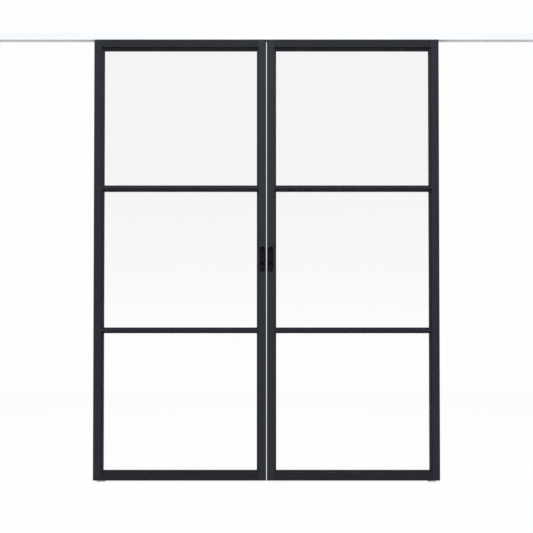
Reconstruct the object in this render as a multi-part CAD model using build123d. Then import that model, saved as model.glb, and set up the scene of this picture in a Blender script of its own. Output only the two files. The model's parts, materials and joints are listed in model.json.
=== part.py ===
from build123d import *
import math
import os

# Double pocket door: two glazed leaves that meet in the middle and slide apart into the wall.
#
# Each leaf is a slim aluminium frame of hollow stiles and rails, butt-jointed and screwed, with two
# glazing bars and three panes. Each pane sits between a fixed lip on the rear side and a snap-in
# bead on the front. The leaves hang from two-wheel hangers in one head track that runs across the
# doorway and over both pockets, and a groove in each bottom rail runs over a guide on the floor.
# The flush pulls hold a thumb slide, which swings a hook bolt out of the meeting edge.
#
# Frame: millimetres, +Z up, X along the track with the right leaf at +X, front face towards -Y.
# The origin is on the floor, under the middle of the pair.
# A leaf is built in its own frame: X from its meeting edge outwards, Z up from its bottom edge.

# Leaf
leaf_width = 826.5
leaf_height = 2115.0
leaf_depth = 40.0
meeting_gap = 3.0
floor_clearance = 7.0
leaf_travel = 750.0

# Frame extrusions
wall = 2.0
stile_face = 36.5
top_rail_face = 34.0
bottom_rail_face = 39.0
edge_radius = 0.8
top_wall = 3.0
hanger_slot = 16.0
bar_face = 10.0
bar_wall = 1.5
pane_names = ("lower", "middle", "upper")
bar_names = ("lower", "upper")

# Glazing
glass_thickness = 6.0
seal_thickness = 1.0
bead_thickness = 4.0
bead_sight = 8.5
lip_depth = 12.0
lip_wall = 1.5
bead_edge_radius = 0.8
glass_edge_clearance = 2.5
seal_setback = 0.8
tongue_thickness = 1.2
tongue_reach = 1.0
tongue_clearance = 0.2
boss_depth = 1.5
boss_side = 1.2
setting_block_length = 60.0
setting_block_inset = 120.0

# Frame screws
port_offset = 12.5
port_size = 8.0
port_hole_radius = 2.2
screw_radius = 2.0
screw_grip = 22.0
screw_head_radius = 4.0
screw_head_height = 2.5
screw_hole_clearance = 0.3
access_radius = 5.0
access_plug_depth = 5.0
plug_clearance = 0.15

# Guide groove and floor guide
guide_groove = 8.0
guide_groove_depth = 16.0
guide_groove_wall = 1.5
stile_plug_length = 20.0
top_plug_length = 12.0
guide_clearance = 0.5
guide_engagement = 12.0
guide_length = 32.0
guide_end_radius = 3.0
guide_base_length = 40.0
guide_base_width = 28.0
guide_base_height = 2.0
guide_inset = 35.0
guide_hole_radius = 1.75
guide_hole_spacing_x = 30.0
guide_hole_spacing_y = 18.0

# Head track
head_gap = 3.5
track_width = 32.0
track_wall = 2.0
track_web = 3.0
track_flange = 2.5
track_slot = 10.0
track_inner_height = 24.5
track_end_margin = 8.0
track_edge_radius = 0.6
track_hole_radius = 2.75
track_hole_pitch = 250.0
track_hole_pairs = 6

# Hangers
hanger_inset = 75.0
hanger_length = 36.0
hanger_width = 11.0
hanger_height = 17.0
hanger_lift = 1.5
hanger_corner_radius = 2.0
wheel_radius = 11.0
wheel_width = 6.0
wheel_gap = 0.3
wheel_chamfer = 0.8
axle_radius = 2.5
axle_clearance = 0.1
wheel_side_gap = 0.3
rivet_radius = 4.0
rivet_height = 1.0
plate_length = 64.0
plate_width = 30.0
plate_thickness = 5.0
bolt_radius = 3.0
bolt_clearance = 0.1
bolt_hex_radius = 5.75
bolt_head_height = 4.0
nut_height = 5.0
thread_margin = 0.8

# Track stops
stop_gap = 0.3
buffer_length = 8.0
buffer_radius = 5.0
stop_length = 24.0
stop_height = 19.0
stop_side_gap = 0.3

# Flush pulls
pull_height = 1059.0
pull_length = 122.0
pull_width = 26.5
rim_proud = 1.2
rim_edge_radius = 0.5
cup_wall = 1.5
cup_depth = 11.0
recess_length = 114.5
recess_width = 19.0
cutout_clearance = 0.25

# Thumb slide
thumb_width = 17.0
thumb_height = 26.0
thumb_travel = 8.6
thumb_top = 26.0
thumb_sunk = 3.0
thumb_foot_radius = 6.0
thumb_corner_radius = 1.0
thumb_clearance = 0.3
thumb_ridge_count = 4
thumb_ridge_pitch = 4.0
thumb_ridge_width = 1.6
thumb_ridge_depth = 0.8
shank_width = 10.0
shank_height = 12.0
shank_drop = 7.0

# Lock case, edge plate and hook bolt
case_depth = 15.0
case_wall = 1.5
case_end = 6.0
case_back = 31.5
case_low = 62.0
case_high = 104.0
case_window_clearance = 0.5
edge_plate_thickness = 2.0
edge_plate_width = 18.0
edge_screw_radius = 2.0
edge_screw_head_radius = 3.6
edge_screw_length = 12.0
cup_screw_radius = 2.0
cup_screw_clearance = 0.2
cup_screw_head_radius = 3.5
cup_screw_head_height = 2.0
cup_screw_heights = (-8.0, 48.0)
cup_screw_skin = 0.6
cup_boss_radius = 4.0
case_gap = 0.1
hook_heights = {"left": 12.0, "right": 64.0}
hook_pivot_inset = 12.0
hook_thickness = 3.0
hook_hub_radius = 7.6
hook_arm_width = 8.0
barb_length = 5.5
barb_drop = 4.8
catch_play = 0.5
hook_swing = 90.0
pivot_radius = 2.5
pivot_clearance = 0.1
drive_pin_radius = 1.5
fork_clearance = 0.35
fork_finger = 2.5
fork_tip_gap = 0.5
bar_low_edge = 23.0
bar_high_edge = 28.0
bar_front = 2.2
bar_gap = 0.3
own_slot_below = 5.0
own_slot_above = 26.0
keep_slot_below = 4.6
keep_slot_above = 21.5
hook_slot_width = 6.0

# Worked out from the sizes above
half_depth = leaf_depth / 2
half_glass = glass_thickness / 2
glass_seat = half_glass + seal_thickness
lip_span = (glass_seat, glass_seat + lip_depth)
lip_hollow = (lip_span[0] + lip_wall, lip_span[1] - lip_wall)
lip_reach = bead_sight - lip_wall
bead_span = (-glass_seat - bead_thickness, -glass_seat)
tongue_middle = sum(bead_span) / 2
tongue_span = (tongue_middle - tongue_thickness / 2, tongue_middle + tongue_thickness / 2)
groove_span = (tongue_span[0] - tongue_clearance, tongue_span[1] + tongue_clearance)
groove_depth = tongue_reach + tongue_clearance
boss_span = (groove_span[0] - boss_side, groove_span[1] + boss_side)
frame_span = (stile_face, leaf_width - stile_face)
sight_span = (stile_face + bead_sight, leaf_width - stile_face - bead_sight)
bar_count = len(bar_names)
opening_height = (
    leaf_height - top_rail_face - bottom_rail_face - bar_count * bar_face
) / len(pane_names)
opening_spans = [
    (
        bottom_rail_face + i * (opening_height + bar_face),
        bottom_rail_face + i * (opening_height + bar_face) + opening_height,
    )
    for i in range(len(pane_names))
]
bar_middles = [span[1] + bar_face / 2 for span in opening_spans[:-1]]
top_rail_bottom = leaf_height - top_rail_face
top_port_height = top_rail_bottom + wall + port_size / 2
bottom_port_height = bottom_rail_face - wall - port_size / 2
screw_heights = [bottom_port_height, *bar_middles, top_port_height]

# Heights above the leaf's bottom edge, up to and inside the track
track_bottom = leaf_height + head_gap
run_height = track_bottom + track_flange
axle_height = run_height + wheel_gap + wheel_radius
web_bottom = run_height + track_inner_height
track_top = web_bottom + track_web
hanger_places = (hanger_inset, leaf_width - hanger_inset)
wheel_inner = hanger_width / 2 + wheel_side_gap
wheel_outer = wheel_inner + wheel_width
rivet_inner = wheel_outer + wheel_side_gap
block_bottom = run_height + hanger_lift
thread_top = axle_height - axle_radius - thread_margin
hanger_plate_top = leaf_height - top_wall
hanger_plate_bottom = hanger_plate_top - plate_thickness

# Places along the track, from the middle of the doorway
half_gap = meeting_gap / 2
closed_stop_face = half_gap + hanger_places[0] - hanger_length / 2 - stop_gap
open_stop_face = half_gap + hanger_places[1] + hanger_length / 2 + leaf_travel + stop_gap
half_track = open_stop_face + buffer_length + stop_length + track_end_margin

# Lock heights and places in the leaf's own frame
pull_middle = stile_face / 2
thumb_span = (pull_height - thumb_top - thumb_height, pull_height - thumb_top)
cup_back = half_depth - cup_depth
recess_floor = cup_back + cup_wall
half_case = case_depth / 2
case_inner = half_case - case_wall
bar_back = case_inner - bar_gap
shank_top = thumb_span[1] - shank_drop
shank_span = (shank_top - shank_height, shank_top)
crank_radius = thumb_travel / (2 * math.sin(math.radians(hook_swing / 2)))
crank_angle = math.radians(-hook_swing / 2)
hook_reach = hook_pivot_inset + meeting_gap + edge_plate_thickness + catch_play + barb_length


def block(x, y, z):
    """A box from its (low, high) spans along X, Y and Z."""
    spans = (x, y, z)
    size = [high - low for low, high in spans]
    middle = [(low + high) / 2 for low, high in spans]
    return Pos(*middle) * Box(*size)


def area(a, b):
    """A flat rectangle from its two (low, high) spans."""
    middle = Pos((a[0] + a[1]) / 2, (b[0] + b[1]) / 2)
    return middle * Rectangle(a[1] - a[0], b[1] - b[0])


def around(middle, size):
    """The span of a given size about a middle."""
    return (middle - size / 2, middle + size / 2)


def rod_x(radius, x, y, z):
    """A round bar along X between the ends in x."""
    return Pos((x[0] + x[1]) / 2, y, z) * Rot(0, 90, 0) * Cylinder(radius, x[1] - x[0])


def rod_y(radius, x, y, z):
    """A round bar along Y between the ends in y."""
    return Pos(x, (y[0] + y[1]) / 2, z) * Rot(90, 0, 0) * Cylinder(radius, y[1] - y[0])


def rod_z(radius, x, y, z):
    """A round bar along Z between the ends in z."""
    return Pos(x, y, (z[0] + z[1]) / 2) * Cylinder(radius, z[1] - z[0])


def along_x(section, x):
    """A section drawn in Y and Z, run along X between the ends in x."""
    return Pos(x[0], 0, 0) * extrude(Plane.YZ * section, x[1] - x[0])


def along_z(section, z):
    """A section drawn in X and Y, run along Z between the ends in z."""
    return Pos(0, 0, z[0]) * extrude(section, z[1] - z[0])


def facing_y(outline, y):
    """An outline drawn in X and Z, given depth between the two places in y."""
    return Pos(0, y[1], 0) * extrude(Plane.XZ * outline, y[1] - y[0])


def upright_slot(length, width, x, z):
    """An upright slot with round ends, centred on x and z."""
    return Pos(x, z) * SlotOverall(length, width, rotation=90)


def group(solids):
    """Separate solids that share one node."""
    return Compound([s for part in solids for s in part.solids()])


def front_to_rear(shape):
    """The same shape on the other face of the leaf."""
    return shape.mirror(Plane.XZ)


# Frame extrusions


def stile(with_lock):
    """A full-height stile, with its leaf edge at X = 0 and its glazing lip towards +X."""
    skin = area((0, stile_face), (-half_depth, half_depth))
    skin = fillet(skin.vertices().group_by(Axis.X)[0], edge_radius)
    hollow = area((wall, stile_face - wall), (wall - half_depth, half_depth - wall))
    inner_wall = stile_face - wall
    boss = area((inner_wall - boss_depth, inner_wall), boss_span)
    groove = area((stile_face - groove_depth, stile_face), groove_span)
    body = along_z(skin - hollow + boss - groove, (0, leaf_height))
    for span in opening_spans:
        body += block((stile_face, stile_face + bead_sight), lip_span, span)
        body -= block((stile_face, stile_face + lip_reach), lip_hollow, span)
    body -= block((0, stile_face), around(0, guide_groove), (0, guide_groove_depth))
    for height in screw_heights:
        for y in (-port_offset, port_offset):
            body -= rod_x(screw_radius + screw_hole_clearance, (inner_wall, stile_face), y, height)
            body -= rod_x(access_radius, (0, wall), y, height)
    if with_lock:
        cup_outline = upright_slot(
            recess_length + 2 * (cup_wall + cutout_clearance),
            recess_width + 2 * (cup_wall + cutout_clearance),
            pull_middle,
            pull_height,
        )
        body -= facing_y(cup_outline, (-half_depth, wall - half_depth))
        body -= facing_y(cup_outline, (half_depth - wall, half_depth))
        body -= edge_outline(cutout_clearance, (0, wall))
    return body


def rail_body(height_span, top_slot, bottom_groove, inner_side):
    """A rail between the stiles. inner_side is +1 where the glass lies above it and -1 where below."""
    low, high = height_span
    glass_face = high if inner_side > 0 else low
    hollow_high = high - (top_wall if top_slot else wall)
    section = area((-half_depth, half_depth), height_span)
    section -= area((wall - half_depth, half_depth - wall), (low + wall, hollow_high))
    inner_face = glass_face - inner_side * wall
    section += area(boss_span, sorted((inner_face, inner_face - inner_side * boss_depth)))
    section -= area(groove_span, sorted((glass_face, glass_face - inner_side * groove_depth)))
    port_middle = inner_face - inner_side * port_size / 2
    for y in (-port_offset, port_offset):
        section += area(around(y, port_size), around(port_middle, port_size))
        section -= Pos(y, port_middle) * Circle(port_hole_radius)
    if top_slot:
        section -= area(around(0, hanger_slot), (hollow_high, high))
    if bottom_groove:
        channel = guide_groove + 2 * guide_groove_wall
        section += area(around(0, channel), (low, guide_groove_depth + guide_groove_wall))
        section -= area(around(0, guide_groove), (low, guide_groove_depth))
    return along_x(section, frame_span) + hollow_lip(glass_face, inner_side)


def hollow_lip(face, direction):
    """The hollow lip along X that stands off a member's face, up (+1) or down (-1)."""
    lip = block(sight_span, lip_span, sorted((face, face + direction * bead_sight)))
    return lip - block(sight_span, lip_hollow, sorted((face, face + direction * lip_reach)))


def top_rail():
    """The top rail, slotted along its top for the hanger plates."""
    return rail_body((top_rail_bottom, leaf_height), True, False, -1)


def bottom_rail():
    """The bottom rail, with the groove that runs over the floor guide."""
    return rail_body((0, bottom_rail_face), False, True, 1)


def glazing_bar(middle):
    """A glazing bar between two panes, with a lip above and below and two screw ports."""
    half = bar_face / 2
    core = area((-half_depth, half_depth), around(0, bar_face))
    core -= area((bar_wall - half_depth, half_depth - bar_wall), around(0, bar_face - 2 * bar_wall))
    for y in (-port_offset, port_offset):
        core += area(around(y, port_size), around(0, bar_face))
        core -= Pos(y, 0) * Circle(port_hole_radius)
    core += area(boss_span, around(0, bar_face))
    for side in (-1, 1):
        core -= area(groove_span, sorted((side * half, side * (half - groove_depth))))
    bar = along_x(core, frame_span) + hollow_lip(half, 1) + hollow_lip(-half, -1)
    return Pos(0, 0, middle) * bar


def stile_plugs():
    """Plastic plugs that close the stiles' ends; the lower ones carry the guide groove on."""
    across = (wall + plug_clearance, stile_face - wall - plug_clearance)
    through = (wall + plug_clearance - half_depth, half_depth - wall - plug_clearance)
    relief_start = stile_face - wall - boss_depth - plug_clearance
    relief = (boss_span[0] - plug_clearance, boss_span[1] + plug_clearance)
    plugs = []
    for span in ((0, stile_plug_length), (leaf_height - top_plug_length, leaf_height)):
        plug = block(across, through, span)
        plug -= block((relief_start, across[1]), relief, span)
        if span[0] == 0:
            plug -= block(across, around(0, guide_groove), (0, guide_groove_depth))
        plugs += [plug, at_outer_edge(plug)]
    return group(plugs)


def at_outer_edge(shape):
    """A shape from the meeting edge, turned round to the leaf's outer edge."""
    return Pos(leaf_width, 0, 0) * shape.mirror(Plane.YZ)


def frame_screws():
    """Screws through the stiles' inner walls into the ports of the rails and glazing bars."""
    seat = stile_face - wall
    screws = []
    for height in screw_heights:
        for y in (-port_offset, port_offset):
            screw = rod_x(screw_head_radius, (seat - screw_head_height, seat), y, height)
            screw += rod_x(screw_radius, (seat, seat + screw_grip), y, height)
            screws += [screw, at_outer_edge(screw)]
    return group(screws)


def hole_plugs():
    """Push-in plugs that close the screw access holes in the leaf's edges."""
    radius = access_radius - plug_clearance
    plugs = []
    for height in screw_heights:
        for y in (-port_offset, port_offset):
            plug = rod_x(radius, (0, access_plug_depth), y, height)
            plugs += [plug, at_outer_edge(plug)]
    return group(plugs)


# Glazing


def pane(span):
    """One sheet of glass, clear of the frame all round."""
    clear = glass_edge_clearance
    across = (frame_span[0] + clear, frame_span[1] - clear)
    return block(across, (-half_glass, half_glass), (span[0] + clear, span[1] - clear))


def bead(length_span, sight_middle):
    """A snap-in bead lying along X under a member's face at Z = 0, with its tongue upwards."""
    profile = area(bead_span, (-bead_sight, 0))
    visible_edge = profile.vertices().group_by(Axis.Y)[0].sort_by(Axis.X)[0]
    profile = fillet(visible_edge, bead_edge_radius)
    profile += area(tongue_span, (0, tongue_reach))
    return Pos(0, 0, sight_middle) * along_x(profile, length_span)


def glazing_beads():
    """Four front beads round each pane: uprights between the faces, the others between the uprights."""
    beads = []
    for low, high in opening_spans:
        top = bead(sight_span, high)
        bottom = Pos(0, 0, low + high) * top.mirror(Plane.XY)
        upright = Pos(0, 0, low) * Rot(0, -90, 0) * bead((0, high - low), 0)
        upright = Pos(frame_span[0], 0, 0) * upright
        beads += [top, bottom, upright, at_outer_edge(upright)]
    return group(beads)


def glazing_seals():
    """Soft strips between the glass and the beads in front and the lips behind."""
    clear = glass_edge_clearance
    reach = bead_sight - seal_setback
    seals = []
    for low, high in opening_spans:
        outer = area((frame_span[0] + clear, frame_span[1] - clear), (low + clear, high - clear))
        inner = area((frame_span[0] + reach, frame_span[1] - reach), (low + reach, high - reach))
        front = facing_y(outer - inner, (-half_glass - seal_thickness, -half_glass))
        seals += [front, front_to_rear(front)]
    return group(seals)


def setting_blocks():
    """Two blocks under each pane, which carry its weight."""
    blocks = []
    for low, _ in opening_spans:
        middle = frame_span[0] + setting_block_inset
        one = block(
            around(middle, setting_block_length),
            (-half_glass, half_glass),
            (low, low + glass_edge_clearance),
        )
        blocks += [one, at_outer_edge(one)]
    return group(blocks)


# Flush pulls, thumb slides and lock


def thumb_outline(grow, lift):
    """The thumb slide's outline, grown all round by grow and lengthened upwards by lift."""
    width = around(pull_middle, thumb_width + 2 * grow)
    outline = area(width, (thumb_span[0] - grow, thumb_span[1] + grow + lift))
    foot = outline.vertices().group_by(Axis.Y)[0]
    outline = fillet(foot, thumb_foot_radius)
    return fillet(outline.vertices().group_by(Axis.Y)[-1], thumb_corner_radius)


def pull(is_front):
    """A flush pull: a rim on the face and a cup behind it, with a window for the thumb slide."""
    rim = facing_y(
        upright_slot(pull_length, pull_width, pull_middle, pull_height),
        (-half_depth - rim_proud, -half_depth),
    )
    rim = fillet(rim.faces().sort_by(Axis.Y)[0].edges(), rim_edge_radius)
    cup = upright_slot(
        recess_length + 2 * cup_wall, recess_width + 2 * cup_wall, pull_middle, pull_height
    )
    recess = upright_slot(recess_length, recess_width, pull_middle, pull_height)
    body = rim + facing_y(cup, (-half_depth, -cup_back))
    for height in cup_screw_heights:
        at = pull_height + height
        body += rod_y(cup_boss_radius, pull_middle, (-cup_back, -half_case - case_gap), at)
    body -= facing_y(recess, (-half_depth - rim_proud, -recess_floor))
    window = thumb_outline(thumb_clearance, thumb_travel)
    body -= facing_y(window, (-recess_floor, -cup_back))
    skin = -recess_floor + cup_screw_skin if is_front else -recess_floor
    for height in cup_screw_heights:
        at = pull_height + height
        body -= rod_y(cup_screw_radius + cup_screw_clearance, pull_middle, (skin, -half_case), at)
    return body if is_front else front_to_rear(body)


def thumb_slides():
    """The front and rear thumb slides, each with a shank that reaches the latch bar."""
    face = thumb_sunk - half_depth
    shank_back = -half_case - case_gap
    front = facing_y(thumb_outline(0, 0), (face, shank_back))
    middle = sum(thumb_span) / 2
    first = middle - thumb_ridge_pitch * (thumb_ridge_count - 1) / 2
    for i in range(thumb_ridge_count):
        groove = around(first + i * thumb_ridge_pitch, thumb_ridge_width)
        front -= block(around(pull_middle, thumb_width), (face, face + thumb_ridge_depth), groove)
    shank = around(pull_middle, shank_width)
    rear = front_to_rear(front) + block(shank, (bar_back, -shank_back), shank_span)
    front += block(shank, (shank_back, bar_front), shank_span)
    return group([front, rear])


def latch_bar(hook_height):
    """The flat bar from the thumb slides to the fork that works the hook bolt."""
    thick = (bar_front, bar_back)
    pin_height = hook_height + crank_radius * math.sin(crank_angle)
    fork_half = drive_pin_radius + fork_clearance
    fork = around(pin_height, 2 * (fork_half + fork_finger))
    fork_tip = hook_pivot_inset + pivot_radius + fork_tip_gap
    bar = block((bar_low_edge, bar_high_edge), thick, (shank_span[0], fork[1]))
    bar += block((pull_middle - shank_width / 2, bar_high_edge), thick, shank_span)
    bar += block((fork_tip, bar_high_edge), thick, fork)
    return bar - block((fork_tip, bar_low_edge), thick, around(pin_height, 2 * fork_half))


def hook_bolt(hook_height):
    """The hook bolt at rest, upright inside the stile, with the pin that the fork drives."""
    half_arm = hook_arm_width / 2
    outline = Circle(hook_hub_radius)
    outline += area((-half_arm, half_arm), (0, hook_reach))
    barb = area((-half_arm - barb_drop, -half_arm), (hook_reach - barb_length, hook_reach))
    outline += barb
    outline -= Circle(pivot_radius + pivot_clearance)
    hook = facing_y(Pos(hook_pivot_inset, hook_height) * outline, around(0, hook_thickness))
    pin_x = hook_pivot_inset + crank_radius * math.cos(crank_angle)
    pin_z = hook_height + crank_radius * math.sin(crank_angle)
    return hook + rod_y(drive_pin_radius, pin_x, (hook_thickness / 2, bar_back), pin_z)


def lock_case(hook_height):
    """The case that holds the hook's pivot, guides the latch bar and carries the edge plate."""
    ends = (pull_height - case_low, pull_height + case_high)
    body = block((wall, case_back), (-half_case, half_case), ends)
    hollow = (ends[0] + case_end, ends[1] - case_end)
    body -= block((wall, case_back - case_wall), (-case_inner, case_inner), hollow)
    gap = case_window_clearance
    window = (shank_span[0] - gap, shank_span[1] + thumb_travel + gap)
    body -= block(around(pull_middle, shank_width + 2 * gap), (-half_case, half_case), window)
    for height in cup_screw_heights:
        radius = cup_screw_radius + cup_screw_clearance
        body -= rod_y(radius, pull_middle, (-half_case, half_case), pull_height + height)
    for end in edge_screw_heights():
        radius = edge_screw_radius + cup_screw_clearance
        body -= rod_x(radius, (wall, edge_screw_length), 0, end)
    return body + rod_y(pivot_radius, hook_pivot_inset, (-half_case, half_case), hook_height)


def edge_screw_heights():
    """Heights of the two screws that hold the edge plate to the case's ends."""
    half_end = case_end / 2
    return (pull_height - case_low + half_end, pull_height + case_high - half_end)


def edge_outline(grow, x):
    """The edge plate's shape between two places in x, grown all round by grow."""
    middle = pull_height + (case_high - case_low) / 2
    length = case_low + case_high + edge_plate_width - case_depth + 2 * grow
    outline = Pos(0, middle) * SlotOverall(length, edge_plate_width + 2 * grow, rotation=90)
    return along_x(outline, x)


def edge_plate(own_height, other_height):
    """The plate in the meeting edge, slotted for its own hook bolt and for the other leaf's."""
    plate = edge_outline(0, (0, edge_plate_thickness))
    across = around(0, hook_slot_width)
    own = (own_height - own_slot_below, own_height + own_slot_above)
    keep = (other_height - keep_slot_below, other_height + keep_slot_above)
    for slot in (own, keep):
        plate -= block((0, edge_plate_thickness), across, slot)
    for height in edge_screw_heights():
        head = Pos(0, 0, height) * Rot(0, 90, 0) * edge_screw_head(cup_screw_clearance)
        hole = rod_x(edge_screw_radius + cup_screw_clearance, (0, edge_plate_thickness), 0, height)
        plate -= head + hole
    return plate


def edge_screw_head(grow):
    """A countersunk head whose flat top lies at Z = 0, pointing along +Z."""
    top = edge_screw_head_radius + grow
    height = edge_screw_head_radius - edge_screw_radius
    return Pos(0, 0, height / 2) * Cone(top, edge_screw_radius + grow, height)


def lock_screws():
    """Two screws that draw the cups together through the case, and two that hold the edge plate."""
    screws = []
    for height in cup_screw_heights:
        at = pull_height + height
        tip = cup_screw_skin + case_gap - recess_floor
        head = (recess_floor, recess_floor + cup_screw_head_height)
        screw = rod_y(cup_screw_radius, pull_middle, (tip, recess_floor), at)
        screws.append(screw + rod_y(cup_screw_head_radius, pull_middle, head, at))
    for height in edge_screw_heights():
        head = Pos(0, 0, height) * Rot(0, 90, 0) * edge_screw_head(0)
        screws.append(head + rod_x(edge_screw_radius, (0, edge_screw_length), 0, height))
    return group(screws)


# Hangers


def hex_block(z, bore):
    """A hexagonal head or nut about the Z axis, with a bore if it has one."""
    body = along_z(RegularPolygon(bolt_hex_radius, 6), z)
    return body - rod_z(bore, 0, 0, z) if bore else body


def hangers():
    """The hanger blocks that run inside the track, each with its riveted axle."""
    blocks = []
    for place in hanger_places:
        top = block_bottom + hanger_height
        outline = area(around(place, hanger_length), (block_bottom, top))
        outline = fillet(outline.vertices(), hanger_corner_radius)
        body = facing_y(outline, around(0, hanger_width))
        body += rod_y(axle_radius, place, around(0, 2 * rivet_inner), axle_height)
        for side in (-1, 1):
            rivet = sorted((side * rivet_inner, side * (rivet_inner + rivet_height)))
            body += rod_y(rivet_radius, place, rivet, axle_height)
        body -= rod_z(bolt_radius + bolt_clearance, place, 0, (block_bottom, thread_top))
        blocks.append(body)
    return group(blocks)


def wheels(place):
    """The two wheels of one hanger, one on each side of its block."""
    wheel = rod_y(wheel_radius, place, (wheel_inner, wheel_outer), axle_height)
    wheel = chamfer(wheel.edges().filter_by(GeomType.CIRCLE), wheel_chamfer)
    wheel -= rod_y(axle_radius + axle_clearance, place, (wheel_inner, wheel_outer), axle_height)
    return group([wheel, front_to_rear(wheel)])


def hanger_plates():
    """Steel plates that lie in the top rail, under its slotted wall."""
    plates = []
    for place in hanger_places:
        plate = block(
            around(place, plate_length),
            around(0, plate_width),
            (hanger_plate_bottom, hanger_plate_top),
        )
        span = (hanger_plate_bottom, hanger_plate_top)
        plates.append(plate - rod_z(bolt_radius + bolt_clearance, place, 0, span))
    return group(plates)


def hanger_bolts():
    """The bolts that join the plates to the hanger blocks, each with its lock nut."""
    fasteners = []
    tip = thread_top - bolt_clearance
    for place in hanger_places:
        head = (hanger_plate_bottom - bolt_head_height, hanger_plate_bottom)
        bolt = hex_block(head, 0) + rod_z(bolt_radius, 0, 0, (hanger_plate_bottom, tip))
        nut_span = (hanger_plate_top, hanger_plate_top + nut_height)
        nut = hex_block(nut_span, bolt_radius + bolt_clearance)
        fasteners += [Pos(place, 0, 0) * bolt, Pos(place, 0, 0) * nut]
    return group(fasteners)


# What is fixed to the building


def head_track():
    """The head track: a channel with two flanges that the wheels run on, slotted below."""
    half = track_width / 2
    section = area((-half, half), (track_bottom, track_top))
    section = fillet(section.vertices(), track_edge_radius)
    section -= area((track_wall - half, half - track_wall), (run_height, web_bottom))
    section -= area(around(0, track_slot), (track_bottom, run_height))
    track = along_x(section, (-half_track, half_track))
    for place in track_hole_places():
        for x in (-place, place):
            track -= rod_z(track_hole_radius, x, 0, (web_bottom, track_top))
    return track


def track_hole_places():
    """Distances of the fixing holes from the middle of the track, a pair at each."""
    return [track_hole_pitch * (i + 0.5) for i in range(track_hole_pairs)]


def track_stops():
    """Blocks in the track that stop each leaf's inner hanger when closed and outer when open."""
    half = track_width / 2 - track_wall - stop_side_gap
    height = (run_height, run_height + stop_height)
    stops = []
    closed = closed_stop_face - buffer_length
    opened = open_stop_face + buffer_length
    for span in ((closed - stop_length, closed), (opened, opened + stop_length)):
        stop = block(span, (-half, half), height)
        stops += [stop, stop.mirror(Plane.YZ)]
    return group(stops)


def stop_buffers():
    """Rubber buffers on the faces of the stops."""
    height = run_height + stop_height / 2
    buffers = []
    for face, direction in ((closed_stop_face, -1), (open_stop_face, 1)):
        span = sorted((face, face + direction * buffer_length))
        buffer = rod_x(buffer_radius, span, 0, height)
        buffers += [buffer, buffer.mirror(Plane.YZ)]
    return group(buffers)


def floor_guides():
    """One-piece guides on the floor at the pocket mouths, whose fins stand in the leaves' grooves."""
    middle = half_gap + leaf_width - guide_inset
    top = floor_clearance + guide_engagement
    fin_width = guide_groove - 2 * guide_clearance
    guide = block(
        around(middle, guide_base_length),
        around(0, guide_base_width),
        (0, guide_base_height),
    )
    fin = area(around(middle, guide_length), around(0, fin_width))
    fin = fillet(fin.vertices(), guide_end_radius)
    guide += along_z(fin, (guide_base_height, top))
    for x in around(middle, guide_hole_spacing_x):
        for y in around(0, guide_hole_spacing_y):
            guide -= rod_z(guide_hole_radius, x, y, (0, guide_base_height))
    return group([guide, guide.mirror(Plane.YZ)])


def leaf(side):
    """Every piece of one leaf, by name, in the leaf's own frame."""
    other = "left" if side == "right" else "right"
    own_hook = pull_height + hook_heights[side]
    other_hook = pull_height + hook_heights[other]
    pieces = {
        "meeting_stile": stile(True),
        "outer_stile": at_outer_edge(stile(False)),
        "top_rail": top_rail(),
        "bottom_rail": bottom_rail(),
        "glazing_beads": glazing_beads(),
        "glazing_seals": glazing_seals(),
        "setting_blocks": setting_blocks(),
        "frame_screws": frame_screws(),
        "hole_plugs": hole_plugs(),
        "stile_plugs": stile_plugs(),
        "front_pull": pull(True),
        "rear_pull": pull(False),
        "thumb_slides": thumb_slides(),
        "latch_bar": latch_bar(own_hook),
        "hook_bolt": hook_bolt(own_hook),
        "lock_case": lock_case(own_hook),
        "edge_plate": edge_plate(own_hook, other_hook),
        "lock_screws": lock_screws(),
        "hanger_plates": hanger_plates(),
        "hanger_bolts": hanger_bolts(),
        "hangers": hangers(),
        "inner_wheels": wheels(hanger_places[0]),
        "outer_wheels": wheels(hanger_places[1]),
    }
    for name, middle in zip(bar_names, bar_middles):
        pieces[f"{name}_glazing_bar"] = glazing_bar(middle)
    for name, span in zip(pane_names, opening_spans):
        pieces[f"{name}_pane"] = pane(span)
    return pieces


def in_doorway(shape, side):
    """A leaf's piece in its place in the doorway, turned round for the left leaf."""
    placed = Pos(half_gap, 0, floor_clearance) * shape
    return placed if side == "right" else placed.mirror(Plane.YZ)


def whole_door():
    """Every node of the door, by name, in its place."""
    lift = Pos(0, 0, floor_clearance)
    nodes = {
        "head_track": lift * head_track(),
        "track_stops": lift * track_stops(),
        "stop_buffers": lift * stop_buffers(),
        "floor_guides": floor_guides(),
    }
    for side in ("left", "right"):
        for name, shape in leaf(side).items():
            nodes[f"{side}_{name}"] = in_doorway(shape, side)
    return nodes


os.makedirs("parts", exist_ok=True)
for node_name, node_shape in whole_door().items():
    export_step(node_shape, f"parts/{node_name}.step")
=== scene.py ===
"""Looks of a double pocket door: two slim dark glazed leaves hung from one head track.

The construction arrives finished as a fixed frame of named nodes. This script gives every node
its finish, breaks the sharp edges of the profiles and the larger fittings, and models the small
fittings whose drives, threads and seams are seen close up. All lengths are in metres, with the
front face towards -Y and the floor at Z = 0.
"""

import json
import logging
import math
from abc import ABC, abstractmethod
from dataclasses import dataclass, replace
from enum import Enum

import bmesh
import bpy
from mathutils import Matrix, Vector

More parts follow.
